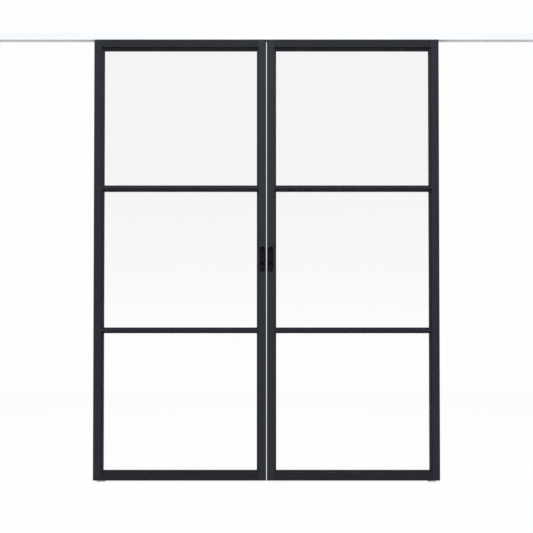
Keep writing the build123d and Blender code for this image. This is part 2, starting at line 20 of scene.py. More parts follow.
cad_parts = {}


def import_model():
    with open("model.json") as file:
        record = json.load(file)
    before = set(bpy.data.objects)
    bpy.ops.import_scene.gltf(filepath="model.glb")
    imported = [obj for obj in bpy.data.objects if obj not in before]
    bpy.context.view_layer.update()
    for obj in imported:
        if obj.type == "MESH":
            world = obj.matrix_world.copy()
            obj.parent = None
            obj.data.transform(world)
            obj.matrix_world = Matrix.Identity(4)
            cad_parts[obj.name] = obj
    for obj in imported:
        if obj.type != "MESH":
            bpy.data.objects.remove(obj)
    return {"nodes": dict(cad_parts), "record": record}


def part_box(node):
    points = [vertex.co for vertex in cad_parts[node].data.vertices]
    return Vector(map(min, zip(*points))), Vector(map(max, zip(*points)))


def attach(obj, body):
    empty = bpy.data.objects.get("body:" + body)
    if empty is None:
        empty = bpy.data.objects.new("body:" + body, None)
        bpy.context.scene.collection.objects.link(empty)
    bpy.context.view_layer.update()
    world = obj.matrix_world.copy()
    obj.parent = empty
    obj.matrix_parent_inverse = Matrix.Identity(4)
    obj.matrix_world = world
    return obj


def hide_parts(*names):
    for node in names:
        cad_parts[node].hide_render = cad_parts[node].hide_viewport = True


MM = 0.001
MERGE_DISTANCE = 0.001 * MM
UP = Vector((0.0, 0.0, 1.0))
REARWARDS = Vector((0.0, 1.0, 0.0))
TONE_RANGE = (0.3, 0.7)
SMOOTH_DEG = 35.0
LOG = logging.getLogger("pocket_door")

Colour = tuple[float, float, float]
Point = tuple[float, float]


class Side(Enum):
    """The two leaves, with the direction in which each one slides open."""

    LEFT = -1.0
    RIGHT = 1.0

    @property
    def prefix(self) -> str:
        """The start of the leaf's node names."""
        return self.name.lower()

    @property
    def leaf_body(self) -> str:
        """The body that the leaf's fixed pieces belong to."""
        return f"{self.prefix}_leaf"

    def node(self, piece: str) -> str:
        """The full node name of one of the leaf's pieces."""
        return f"{self.prefix}_{piece}"


class Grain(Enum):
    """How a metal's fine lines are drawn out: the scale of their coordinates along each axis."""

    ALONG_Z = (1.0, 1.0, 0.02)
    NONE = (1.0, 1.0, 1.0)


# Shader building blocks


class NodeBoard:
    """A small helper that adds and links nodes in one node tree."""

    def __init__(self, tree: bpy.types.NodeTree) -> None:
        """Keeps the tree that the nodes go into.

        Args:
            tree: The tree of a material, a world or a group.
        """
        self.tree = tree

    def add(self, kind: str, **settings: object) -> bpy.types.Node:
        """Adds a node.

        Args:
            kind: The node's type name without the word ShaderNode.
            settings: Attributes of the node to set.

        Returns:
            The new node.
        """
        node = self.tree.nodes.new(f"ShaderNode{kind}")
        for name, value in settings.items():
            setattr(node, name, value)
        return node

    def link(self, source: bpy.types.NodeSocket, target: bpy.types.NodeSocket) -> None:
        """Feeds one socket from another."""
        self.tree.links.new(source, target)

    def math(self, operation: str, *values: object) -> bpy.types.NodeSocket:
        """Adds a Math node.

        Args:
            operation: The name of the operation.
            values: Numbers or sockets, in the order of the node's inputs.

        Returns:
            The node's output socket.
        """
        node = self.add("Math", operation=operation)
        for socket, value in zip(node.inputs, values):
            if isinstance(value, bpy.types.NodeSocket):
                self.link(value, socket)
            else:
                socket.default_value = value
        return node.outputs[0]

    def ramp(
        self, factor: bpy.types.NodeSocket, stops: list[tuple[float, Colour]]
    ) -> bpy.types.NodeSocket:
        """Adds a colour ramp.

        Args:
            factor: The socket that runs along the ramp.
            stops: Positions from 0 to 1 with their colours, in order.

        Returns:
            The ramp's colour socket.
        """
        node = self.add("ValToRGB")
        self.link(factor, node.inputs["Fac"])
        elements = node.color_ramp.elements
        for _ in range(len(stops) - 2):
            elements.new(0.5)
        for element, (position, colour) in zip(elements, stops):
            element.position = position
            element.color = (*colour, 1.0)
        return node.outputs["Color"]


class FinishGroup(ABC):
    """A shader node group that is built once and shared by several finishes."""

    name: str
    inputs: dict[str, float]
    outputs: tuple[str, ...]

    def tree(self) -> bpy.types.NodeTree:
        """Builds the group the first time it is asked for.

        Returns:
            The group's tree.
        """
        found = bpy.data.node_groups.get(self.name)
        if found:
            return found
        group = bpy.data.node_groups.new(self.name, "ShaderNodeTree")
        vector = group.interface.new_socket("Vector", in_out="INPUT", socket_type="NodeSocketVector")
        vector.hide_value = True
        for socket_name, value in self.inputs.items():
            socket = group.interface.new_socket(
                socket_name, in_out="INPUT", socket_type="NodeSocketFloat"
            )
            socket.default_value = value
        for socket_name in self.outputs:
            group.interface.new_socket(
                socket_name, in_out="OUTPUT", socket_type="NodeSocketFloat"
            )
        board = NodeBoard(group)
        given = group.nodes.new("NodeGroupInput")
        result = group.nodes.new("NodeGroupOutput")
        self.fill(board, given, result)
        return group

    @abstractmethod
    def fill(self, board: NodeBoard, given: bpy.types.Node, result: bpy.types.Node) -> None:
        """Builds the group's inside.

        Args:
            board: The board of the group's tree.
            given: The group's input node.
            result: The group's output node.
        """

    def place(self, board: NodeBoard, vector: bpy.types.NodeSocket, **values: float) -> bpy.types.Node:
        """Puts the group into a material.

        Args:
            board: The board of the material's tree.
            vector: The coordinates that the group reads.
            values: Input names, with underscores for spaces, and their values.

        Returns:
            The placed group node.
        """
        node = board.add("Group")
        node.node_tree = self.tree()
        board.link(vector, node.inputs["Vector"])
        for name, value in values.items():
            node.inputs[name.replace("_", " ")].default_value = value
        return node


class SurfaceGrain(FinishGroup):
    """Fine pits and bumps with slow clouds of tone, as on powder coat, castings and rubber."""

    name = "surface_grain"
    inputs = {"Size": 0.001, "Cloud Size": 0.25}
    outputs = ("Height", "Speckle", "Cloud")
    fine_detail: float = 2.0
    fine_roughness: float = 0.6
    fine_share: float = 0.6
    pit_smoothness: float = 0.6
    pit_scale: float = 0.7
    cloud_detail: float = 3.0

    def fill(self, board: NodeBoard, given: bpy.types.Node, result: bpy.types.Node) -> None:
        """Mixes two fine noises into the height and one slow noise into the cloud.

        Args:
            board: The board of the group's tree.
            given: The group's input node.
            result: The group's output node.
        """
        scale = board.math("DIVIDE", 1.0, given.outputs["Size"])
        fine = board.add("TexNoise")
        fine.inputs["Detail"].default_value = self.fine_detail
        fine.inputs["Roughness"].default_value = self.fine_roughness
        board.link(given.outputs["Vector"], fine.inputs["Vector"])
        board.link(scale, fine.inputs["Scale"])
        pits = board.add("TexVoronoi", feature="SMOOTH_F1")
        pits.inputs["Smoothness"].default_value = self.pit_smoothness
        board.link(given.outputs["Vector"], pits.inputs["Vector"])
        board.link(board.math("MULTIPLY", scale, self.pit_scale), pits.inputs["Scale"])
        cloud = board.add("TexNoise")
        cloud.inputs["Detail"].default_value = self.cloud_detail
        board.link(given.outputs["Vector"], cloud.inputs["Vector"])
        board.link(board.math("DIVIDE", 1.0, given.outputs["Cloud Size"]), cloud.inputs["Scale"])
        height = board.math(
            "MULTIPLY_ADD", fine.outputs["Fac"], self.fine_share, pits.outputs["Distance"]
        )
        board.link(height, result.inputs["Height"])
        board.link(fine.outputs["Fac"], result.inputs["Speckle"])
        board.link(cloud.outputs["Fac"], result.inputs["Cloud"])


class DrawnLines(FinishGroup):
    """Fine parallel lines, as left by drawing, brushing or rolling a metal."""

    name = "drawn_lines"
    inputs = {"Spacing": 0.0004}
    outputs = ("Height", "Tone")
    detail: float = 3.0

    def fill(self, board: NodeBoard, given: bpy.types.Node, result: bpy.types.Node) -> None:
        """Runs a fine noise over coordinates that the material has already drawn out.

        Args:
            board: The board of the group's tree.
            given: The group's input node.
            result: The group's output node.
        """
        lines = board.add("TexNoise")
        lines.inputs["Detail"].default_value = self.detail
        board.link(given.outputs["Vector"], lines.inputs["Vector"])
        board.link(board.math("DIVIDE", 1.0, given.outputs["Spacing"]), lines.inputs["Scale"])
        board.link(lines.outputs["Fac"], result.inputs["Height"])
        board.link(lines.outputs["Fac"], result.inputs["Tone"])


GRAIN = SurfaceGrain()
LINES = DrawnLines()


# Finishes


@dataclass(frozen=True)
class Finish(ABC):
    """A finish that turns into one material."""

    name: str
    colour: Colour

    def material(self) -> bpy.types.Material:
        """Builds the finish's material the first time it is asked for.

        Returns:
            The material.
        """
        found = bpy.data.materials.get(self.name)
        if found:
            return found
        material = bpy.data.materials.new(self.name)
        material.use_nodes = True
        material.node_tree.nodes.clear()
        board = NodeBoard(material.node_tree)
        shader = board.add("BsdfPrincipled")
        shader.inputs["Base Color"].default_value = (*self.colour, 1.0)
        output = board.add("OutputMaterial")
        board.link(shader.outputs["BSDF"], output.inputs["Surface"])
        self.build(board, shader, output)
        return material

    @abstractmethod
    def build(self, board: NodeBoard, shader: bpy.types.Node, output: bpy.types.Node) -> None:
        """Adds what makes this finish look as it does.

        Args:
            board: The board of the material's tree.
            shader: The material's Principled shader.
            output: The material's output node.
        """

    def tones(
        self, board: NodeBoard, factor: bpy.types.NodeSocket, swing: float
    ) -> bpy.types.NodeSocket:
        """Varies the finish's colour about its own value.

        Args:
            board: The board of the material's tree.
            factor: The socket that the colour follows, about 0.5.
            swing: How far the colour goes each way, as a share of itself.

        Returns:
            The varied colour's socket.
        """
        darker = tuple(channel * (1.0 - swing) for channel in self.colour)
        lighter = tuple(min(1.0, channel * (1.0 + swing)) for channel in self.colour)
        return board.ramp(factor, list(zip(TONE_RANGE, (darker, lighter))))

    @staticmethod
    def bump(
        board: NodeBoard, shader: bpy.types.Node, height: bpy.types.NodeSocket, depth: float
    ) -> None:
        """Gives the surface relief.

        Args:
            board: The board of the material's tree.
            shader: The material's Principled shader.
            height: The socket that holds the relief.
            depth: How deep the relief is where the socket's value is 1.
        """
        relief = board.add("Bump")
        relief.inputs["Distance"].default_value = depth
        board.link(height, relief.inputs["Height"])
        board.link(relief.outputs["Normal"], shader.inputs["Normal"])


@dataclass(frozen=True)
class GrainedCoat(Finish):
    """Powder coat, rubber, moulded plastic or a casting: fine relief with slow clouds of tone."""

    roughness: float = 0.5
    metallic: float = 0.0
    grain_size: float = 0.6 * MM
    grain_depth: float = 0.02 * MM
    cloud_size: float = 0.3
    tone_swing: float = 0.06
    roughness_swing: float = 0.05
    specular: float = 0.5
    transmission: float = 0.0

    def build(self, board: NodeBoard, shader: bpy.types.Node, output: bpy.types.Node) -> None:
        """Feeds colour, roughness and relief from the shared grain.

        Args:
            board: The board of the material's tree.
            shader: The material's Principled shader.
            output: The material's output node.
        """
        place = board.add("TexCoord").outputs["Object"]
        grain = GRAIN.place(board, place, Size=self.grain_size, Cloud_Size=self.cloud_size)
        colour = self.tones(board, grain.outputs["Cloud"], self.tone_swing)
        board.link(colour, shader.inputs["Base Color"])
        base = self.roughness - 0.5 * self.roughness_swing
        rough = board.math("MULTIPLY_ADD", grain.outputs["Speckle"], self.roughness_swing, base)
        board.link(rough, shader.inputs["Roughness"])
        shader.inputs["Metallic"].default_value = self.metallic
        shader.inputs["Specular IOR Level"].default_value = self.specular
        shader.inputs["Transmission Weight"].default_value = self.transmission
        self.bump(board, shader, grain.outputs["Height"], self.grain_depth)


@dataclass(frozen=True)
class LinedMetal(Finish):
    """Bare or plated metal with the fine lines of its making."""

    roughness: float = 0.35
    grain: Grain = Grain.NONE
    spacing: float = 0.5 * MM
    depth: float = 0.01 * MM
    tone_swing: float = 0.08
    roughness_swing: float = 0.12

    def build(self, board: NodeBoard, shader: bpy.types.Node, output: bpy.types.Node) -> None:
        """Feeds colour, roughness and relief from the shared lines.

        Args:
            board: The board of the material's tree.
            shader: The material's Principled shader.
            output: The material's output node.
        """
        stretch = board.add("Mapping")
        stretch.inputs["Scale"].default_value = self.grain.value
        board.link(board.add("TexCoord").outputs["Object"], stretch.inputs["Vector"])
        lines = LINES.place(board, stretch.outputs["Vector"], Spacing=self.spacing)
        colour = self.tones(board, lines.outputs["Tone"], self.tone_swing)
        board.link(colour, shader.inputs["Base Color"])
        base = self.roughness - 0.5 * self.roughness_swing
        rough = board.math("MULTIPLY_ADD", lines.outputs["Tone"], self.roughness_swing, base)
        board.link(rough, shader.inputs["Roughness"])
        shader.inputs["Metallic"].default_value = 1.0
        self.bump(board, shader, lines.outputs["Height"], self.depth)


@dataclass(frozen=True)
class ClearGlass(Finish):
    """Clear glass that bends what is behind it and lets the lamps' light through."""

    ior: float = 1.5
    film: float = 0.012
    grain_size: float = 0.02
    cloud_size: float = 0.5
    tone_swing: float = 0.004

    def build(self, board: NodeBoard, shader: bpy.types.Node, output: bpy.types.Node) -> None:
        """Gives the panes a trace of uneven gloss, and lets lamps shine through them.

        Args:
            board: The board of the material's tree.
            shader: The material's Principled shader.
            output: The material's output node.
        """
        place = board.add("TexCoord").outputs["Object"]
        grain = GRAIN.place(board, place, Size=self.grain_size, Cloud_Size=self.cloud_size)
        colour = self.tones(board, grain.outputs["Cloud"], self.tone_swing)
        board.link(colour, shader.inputs["Base Color"])
        rough = board.math("MULTIPLY", grain.outputs["Cloud"], self.film)
        board.link(rough, shader.inputs["Roughness"])
        shader.inputs["IOR"].default_value = self.ior
        shader.inputs["Transmission Weight"].default_value = 1.0
        shine_through = board.add("MixShader")
        board.link(board.add("LightPath").outputs["Is Shadow Ray"], shine_through.inputs[0])
        board.link(shader.outputs["BSDF"], shine_through.inputs[1])
        board.link(board.add("BsdfTransparent").outputs["BSDF"], shine_through.inputs[2])
        board.link(shine_through.outputs["Shader"], output.inputs["Surface"])


FRAME_COAT = GrainedCoat(
    "anthracite_powder_coat", (0.0206, 0.0223, 0.03), roughness=0.62, grain_size=0.7 * MM,
    grain_depth=0.03 * MM, cloud_size=0.4, tone_swing=0.05, specular=0.2,
)
# The meeting stiles' coat is the frame coat made lighter: painted light, for the brighter sheen that
# falls on the middle of the door.
PAINTED_LIGHT_MEETING_COAT = replace(FRAME_COAT, name="anthracite_coat_meeting", colour=(0.0233, 0.0252, 0.0338))
# The rails' coat is the frame coat made darker: painted shade, for the rails taking less light than
# the stiles.
PAINTED_SHADE_RAIL_COAT = replace(FRAME_COAT, name="anthracite_coat_rails", colour=(0.0143, 0.0158, 0.0213))
# The beads' coat is the frame coat made lighter: painted light that lifts the shade of the recess
# beside the stiles and rails.
PAINTED_LIGHT_BEAD_COAT = replace(FRAME_COAT, name="anthracite_coat_beads", colour=(0.0245, 0.0275, 0.036))
GLASS = ClearGlass("clear_toughened_glass", (0.999, 0.999, 0.994))
SEAL_RUBBER = GrainedCoat(
    "black_seal_rubber", (0.008, 0.008, 0.0085), roughness=0.85, grain_size=0.3 * MM,
    grain_depth=0.01 * MM, cloud_size=0.05, tone_swing=0.12, specular=0.15,
)
PULL_BLACK = GrainedCoat(
    "satin_black_coat", (0.0045, 0.0049, 0.0062), roughness=0.5, grain_size=0.35 * MM,
    grain_depth=0.008 * MM, cloud_size=0.03, tone_swing=0.1, specular=0.15,
)
THUMB_COAT = GrainedCoat(
    "blue_black_coat", (0.0058, 0.0074, 0.0118), roughness=0.5, grain_size=0.35 * MM,
    grain_depth=0.008 * MM, cloud_size=0.03, tone_swing=0.08, specular=0.16,
)
# Blackened steel, made darker still than the real finish: partly the steel's own black and partly
# painted shade for the inside of the pull's slot.
BLACKENED_STEEL_AND_SHADE = GrainedCoat(
    "blackened_steel", (0.0018, 0.0018, 0.002), roughness=0.8, grain_size=0.4 * MM,
    grain_depth=0.006 * MM, cloud_size=0.02, tone_swing=0.12, specular=0.06,
)
PLUG_PLASTIC = GrainedCoat(
    "dark_moulded_plastic", (0.022, 0.024, 0.03), roughness=0.55, grain_size=0.5 * MM,
    grain_depth=0.015 * MM, cloud_size=0.04, tone_swing=0.08,
)
ZINC_CASTING = GrainedCoat(
    "zinc_casting", (0.42, 0.43, 0.45), roughness=0.48, metallic=0.9, grain_size=0.8 * MM,
    grain_depth=0.03 * MM, cloud_size=0.02, tone_swing=0.1,
)
WHITE_NYLON = GrainedCoat(
    "white_nylon", (0.9, 0.9, 0.885), roughness=0.4, grain_size=0.8 * MM,
    grain_depth=0.01 * MM, cloud_size=0.03, tone_swing=0.02,
)
UNDYED_NYLON = replace(WHITE_NYLON, name="undyed_nylon", roughness=0.25, transmission=0.7)
TRACK_WHITE = GrainedCoat(
    "white_powder_coat", (0.92, 0.92, 0.915), roughness=0.45, grain_size=0.7 * MM,
    grain_depth=0.02 * MM, cloud_size=0.4, tone_swing=0.015,
)
PLATED_STEEL = LinedMetal("zinc_plated_steel", (0.56, 0.57, 0.58), roughness=0.36)
DRAWN_STEEL = LinedMetal(
    "drawn_steel", (0.5, 0.5, 0.51), roughness=0.32, grain=Grain.ALONG_Z, spacing=0.3 * MM
)


# Camera and studio


@dataclass(frozen=True)
class PhotoCamera:
    """The photograph's camera: where it stood, and where the door's edges fall in its pixels."""

    image_px: float = 533.0
    top_row_px: float = 39.9
    bottom_row_px: float = 480.65
    middle_column_px: float = 266.5
    distance: float = 3.65
    height: float = 0.538
    pitch_deg: float = 0.9
    sensor_mm: float = 36.0

    def make(self, top: float, bottom: float, face_y: float) -> bpy.types.Object:
        """Makes the camera and frames the leaves as in the photograph.

        Args:
            top: Height of the leaves' top edge.
            bottom: Height of the leaves' bottom edge.
            face_y: Place of the leaves' front face along Y.

        Returns:
            The camera object, which is set as the scene's camera.
        """
        pitch = math.radians(self.pitch_deg)

        def slope(height: float) -> float:
            """The image slope of a point on the front face, above the camera's axis.

            Args:
                height: The point's height.

            Returns:
                Its distance above the axis over its distance along it.
            """
            rise = height - self.height
            depth = self.distance * math.cos(pitch) + rise * math.sin(pitch)
            return (rise * math.cos(pitch) - self.distance * math.sin(pitch)) / depth

        rows = self.bottom_row_px - self.top_row_px
        focal_px = rows / (slope(top) - slope(bottom))
        data = bpy.data.cameras.new("photo_camera")
        data.sensor_width = self.sensor_mm
        data.lens = focal_px / self.image_px * self.sensor_mm
        axis_row = self.top_row_px + focal_px * slope(top)
        data.shift_y = (axis_row - self.image_px / 2) / self.image_px
        data.shift_x = (self.image_px / 2 - self.middle_column_px) / self.image_px
        camera = bpy.data.objects.new("photo_camera", data)
        camera.location = (0.0, face_y - self.distance, self.height)
        camera.rotation_euler = (math.pi / 2 + pitch, 0.0, 0.0)
        bpy.context.scene.collection.objects.link(camera)
        bpy.context.scene.camera = camera
        return camera


@dataclass(frozen=True)
class Softbox:
    """One square studio lamp."""

    name: str
    place: tuple[float, float, float]
    target: tuple[float, float, float]
    size: float
    power: float
    colour: Colour

    def make(self) -> bpy.types.Object:
        """Makes the lamp and turns it to its target.

        Returns:
            The lamp object.
        """
        data = bpy.data.lights.new(self.name, "AREA")
        data.shape = "SQUARE"
        data.size = self.size
        data.energy = self.power
        data.color = self.colour
        lamp = bpy.data.objects.new(self.name, data)
        lamp.location = self.place
        sight = Vector(self.target) - Vector(self.place)
        lamp.rotation_euler = sight.to_track_quat("-Z", "Y").to_euler()
        lamp.visible_camera = False
        lamp.visible_transmission = False
        bpy.context.scene.collection.objects.link(lamp)
        return lamp


@dataclass(frozen=True)
class Studio:
    """A plain white studio with a soft lamp high in front and another behind."""

    backdrop: float = 0.986
    above_horizon: float = 0.45
    ceiling: float = 0.03
    white_up_to: float = 0.03
    above_horizon_at: float = 0.12
    ceiling_from: float = 0.24
    ambient: float = 0.54
    floor_size: float = 30.0
    floor_albedo: float = 0.8
    floor_glow: float = 0.94
    floor_shade: float = 0.05
    lamps: tuple[Softbox, ...] = (
        Softbox("key_lamp", (0.0, -4.4, 6.0), (0.0, 0.0, 1.1), 3.0, 240.0, (0.9, 0.95, 1.0)),
        Softbox("rear_lamp", (0.0, 5.5, 6.5), (0.0, 0.0, 1.1), 3.0, 150.0, (1.0, 1.0, 1.0)),
    )

    def make(self) -> None:
        """Makes the world, the lamps and the floor."""
        self.make_world()
        for lamp in self.lamps:
            lamp.make()
        self.make_floor()

    @staticmethod
    def seen_and_mirrored(board: NodeBoard) -> tuple[bpy.types.NodeSocket, bpy.types.NodeSocket]:
        """Tells what the camera sees, straight or mirrored, from the light on the object.

        A ray that is mirrored at the rear face of a pane leaves it as a transmission ray, so
        mirrored rays are told by how often they were mirrored.

        Args:
            board: The board of the tree that asks.

        Returns:
            A socket that is 1 for rays straight from the camera, through glass too, and a
            socket that is 1 for rays that a gloss or a pane has mirrored.
        """
        path = board.add("LightPath")
        unscattered = board.math("LESS_THAN", path.outputs["Diffuse Depth"], 0.5)
        bounced = board.math("GREATER_THAN", path.outputs["Glossy Depth"], 0.5)
        mirrored = board.math("MULTIPLY", unscattered, bounced)
        passed = board.math("MULTIPLY", path.outputs["Is Transmission Ray"], unscattered)
        straight = board.math("MULTIPLY", passed, board.math("SUBTRACT", 1.0, bounced))
        return board.math("MAXIMUM", path.outputs["Is Camera Ray"], straight), mirrored

    def make_world(self) -> None:
        """White behind the door, darker overhead in its reflections, and an even light on it."""
        world = bpy.data.worlds.new("studio_world")
        bpy.context.scene.world = world
        world.use_nodes = True
        world.node_tree.nodes.clear()
        board = NodeBoard(world.node_tree)
        seen, mirrored = self.seen_and_mirrored(board)
        split = board.add("SeparateXYZ")
        board.link(board.add("TexCoord").outputs["Generated"], split.inputs["Vector"])
        white = (self.backdrop,) * 3
        between = (self.above_horizon,) * 3
        dim = (self.ceiling,) * 3
        overhead = board.ramp(
            split.outputs["Z"],
            [(0.0, white), (self.white_up_to, white), (self.above_horizon_at, between),
             (self.ceiling_from, dim)],
        )
        lit = board.add("Mix", data_type="RGBA")
        lit.inputs["A"].default_value = (self.ambient, self.ambient, self.ambient, 1.0)
        board.link(mirrored, lit.inputs["Factor"])
        board.link(overhead, lit.inputs["B"])
        colour = board.add("Mix", data_type="RGBA")
        board.link(seen, colour.inputs["Factor"])
        board.link(lit.outputs["Result"], colour.inputs["A"])
        colour.inputs["B"].default_value = (*white, 1.0)
        background = board.add("Background")
        board.link(colour.outputs["Result"], background.inputs["Color"])
        board.link(background.outputs["Background"], board.add("OutputWorld").inputs["Surface"])

    def make_floor(self) -> None:
        """A pale floor that shows white to the camera and keeps the door's soft shadow."""
        mesh = bpy.data.meshes.new("studio_floor")
        shape = bmesh.new()
        bmesh.ops.create_grid(shape, x_segments=1, y_segments=1, size=self.floor_size / 2)
        shape.to_mesh(mesh)
        shape.free()
        floor = bpy.data.objects.new("studio_floor", mesh)
        bpy.context.scene.collection.objects.link(floor)
        material = bpy.data.materials.new("studio_floor")
        material.use_nodes = True
        material.node_tree.nodes.clear()
        board = NodeBoard(material.node_tree)
        seen, mirrored = self.seen_and_mirrored(board)
        shown = board.math("MAXIMUM", seen, mirrored)
        matt = board.add("BsdfDiffuse")
        matt.inputs["Color"].default_value = (self.floor_albedo,) * 3 + (1.0,)
        shaded = board.add("BsdfDiffuse")
        shaded.inputs["Color"].default_value = (self.floor_shade,) * 3 + (1.0,)
        glow = board.add("Emission")
        glow.inputs["Color"].default_value = (self.floor_glow,) * 3 + (1.0,)
        white = board.add("AddShader")
        board.link(shaded.outputs["BSDF"], white.inputs[0])
        board.link(glow.outputs["Emission"], white.inputs[1])
        mix = board.add("MixShader")
        board.link(shown, mix.inputs[0])
        board.link(matt.outputs["BSDF"], mix.inputs[1])
        board.link(white.outputs["Shader"], mix.inputs[2])
        board.link(mix.outputs["Shader"], board.add("OutputMaterial").inputs["Surface"])
        mesh.materials.append(material)


# The construction and the shapes that stand for its nodes


@dataclass(frozen=True)
class Construction:
    """The loaded frame: its node objects, with the body and the material slot of each node."""

    nodes: dict[str, bpy.types.Object]
    body_of: dict[str, str]
    slot_of: dict[str, str]

    @classmethod
    def loaded(cls) -> "Construction":
        """Loads the frame and sorts its record by node.

        Returns:
            The construction.
        """
        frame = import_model()
        record = frame["record"]
        bodies = record["behaviour"]["bodies"].items()
        return cls(
            frame["nodes"],
            {node: body for body, nodes in bodies for node in nodes},
            {row["node"]: row["material_slot"] for row in record["subparts"]},
        )


@dataclass(frozen=True)
class Place:
    """The box that one solid of a node fills."""

    low: Vector
    high: Vector

    @property
    def middle(self) -> Vector:
        """The middle of the box."""
        return (self.low + self.high) / 2

    @property
    def size(self) -> Vector:
        """The box's lengths along X, Y and Z."""
        return self.high - self.low

    def length(self, direction: Vector) -> float:
        """The box's length along one of the door's axes."""
        return abs(self.size.dot(direction))

    def seat(self, direction: Vector) -> Matrix:
        """Puts a body that stands on Z = 0 into the box.

        Args:
            direction: The way that the body's own Z axis goes, along one of the door's axes.

        Returns:
            The matrix from the body's own frame to the door's.
        """
        turn = UP.rotation_difference(direction).to_matrix().to_4x4()
        return Matrix.Translation(self.middle - direction * self.length(direction) / 2) @ turn


def merged_copy(node: bpy.types.Object) -> bmesh.types.BMesh:
    """Copies a node's loose triangles into one merged shape.

    Args:
        node: The node's object, which stays as it is.

    Returns:
        The merged shape, still in triangles.
    """
    shape = bmesh.new()
    shape.from_mesh(node.data)
    bmesh.ops.remove_doubles(shape, verts=shape.verts, dist=MERGE_DISTANCE)
    return shape


def solids_of(node: bpy.types.Object) -> list[Place]:
    """Finds the boxes of a node's separate solids.

    Args:
        node: The node's object.

    Returns:
        The boxes, in the order of their lowest corners.
    """
    shape = merged_copy(node)
    waiting = set(shape.verts)
    places = []
    while waiting:
        front = [waiting.pop()]
        points = []
        while front:
            vert = front.pop()
            points.append(tuple(vert.co))
            linked = {edge.other_vert(vert) for edge in vert.link_edges} & waiting
            waiting -= linked
            front.extend(linked)
        columns = list(zip(*points))
        low = Vector([min(column) for column in columns])
        high = Vector([max(column) for column in columns])
        places.append(Place(low, high))
    shape.free()
    return sorted(places, key=lambda place: tuple(place.low))


def lathe(outline: list[Point], steps: int, ring: bool = False) -> bmesh.types.BMesh:
    """Spins an outline about Z.

    Args:
        outline: Points of (radius, height) along the body's skin.
        steps: Flats round the body.
        ring: Whether the outline closes on itself, away from the axis.

    Returns:
        The spun body.
    """
    body = bmesh.new()
    verts = [body.verts.new((radius, 0.0, height)) for radius, height in outline]
    ends = [(verts[-1], verts[0])] if ring else []
    edges = [body.edges.new(pair) for pair in [*zip(verts, verts[1:]), *ends]]
    bmesh.ops.spin(
        body, geom=[*verts, *edges], cent=(0.0, 0.0, 0.0), axis=(0.0, 0.0, 1.0),
        angle=math.tau, steps=steps, use_merge=True,
    )
    bmesh.ops.remove_doubles(body, verts=body.verts, dist=MERGE_DISTANCE)
    bmesh.ops.recalc_face_normals(body, faces=body.faces)
    return body


class Mould:
    """Gathers closed bodies into the mesh of one piece."""

    def __init__(self) -> None:
        """Starts with nothing in it."""
        self.shape = bmesh.new()

    def add(self, body: bmesh.types.BMesh, place: Matrix = Matrix.Identity(4)) -> None:
        """Adds a body, which is used up.

        Args:
            body: The closed body.
            place: The matrix from the body's own frame to the door's.
        """
        body.transform(place)
        spare = bpy.data.meshes.new("spare")
        body.to_mesh(spare)
        body.free()
        self.shape.from_mesh(spare)
        bpy.data.meshes.remove(spare)

    def cast(
        self, door: Construction, name: str, node: str, finish: Finish,
        smooth_deg: float = SMOOTH_DEG, stands_in: bool = True,
    ) -> bpy.types.Object:
        """Turns what was gathered into a piece that rides with a node.

        Args:
            door: The construction that the piece belongs to.
            name: The piece's name.
            node: The node whose body it rides on.
            finish: The piece's finish.
            smooth_deg: Edges that turn by more than this stay crisp.
            stands_in: Whether the piece stands for the node.

        Returns:
            The finished piece.
        """
        mesh = bpy.data.meshes.new(name)
        self.shape.to_mesh(mesh)
        self.shape.free()
        mesh.shade_smooth()
        mesh.set_sharp_from_angle(angle=math.radians(smooth_deg))
        piece = bpy.data.objects.new(name, mesh)
        bpy.context.scene.collection.objects.link(piece)
        set_finish(piece, finish)
        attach(piece, door.body_of[node])
        if stands_in:
            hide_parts(node)
        LOG.info("%s: %d faces", name, len(mesh.polygons))
        return piece


@dataclass(frozen=True)
class EasedEdges:
    """Nodes whose sharp edges are broken, as on coated, cast and moulded pieces."""

    width: float
    segments: int = 2
    flat_deg: float = 0.4
    sharp_deg: float = 40.0
    smooth_deg: float = 20.0

    def ease(self, door: Construction, node: str, finish: Finish) -> bpy.types.Object:
        """Makes a copy of a node with eased edges, which stands for it.

        Args:
            door: The construction.
            node: The node's name.
            finish: The copy's finish.

        Returns:
            The eased piece.
        """
        shape = merged_copy(door.nodes[node])
        bmesh.ops.dissolve_limit(
            shape, angle_limit=math.radians(self.flat_deg), verts=shape.verts, edges=shape.edges
        )
        limit = math.radians(self.sharp_deg)
        sharp = [edge for edge in shape.edges if edge.is_manifold and edge.calc_face_angle() > limit]
        bmesh.ops.bevel(
            shape, geom=sharp, offset=self.width, offset_type="OFFSET", affect="EDGES",
            segments=self.segments, profile=0.5, material=-1, clamp_overlap=True,
        )
        mould = Mould()
        mould.add(shape)
        return mould.cast(door, f"{node}_eased", node, finish, smooth_deg=self.smooth_deg)


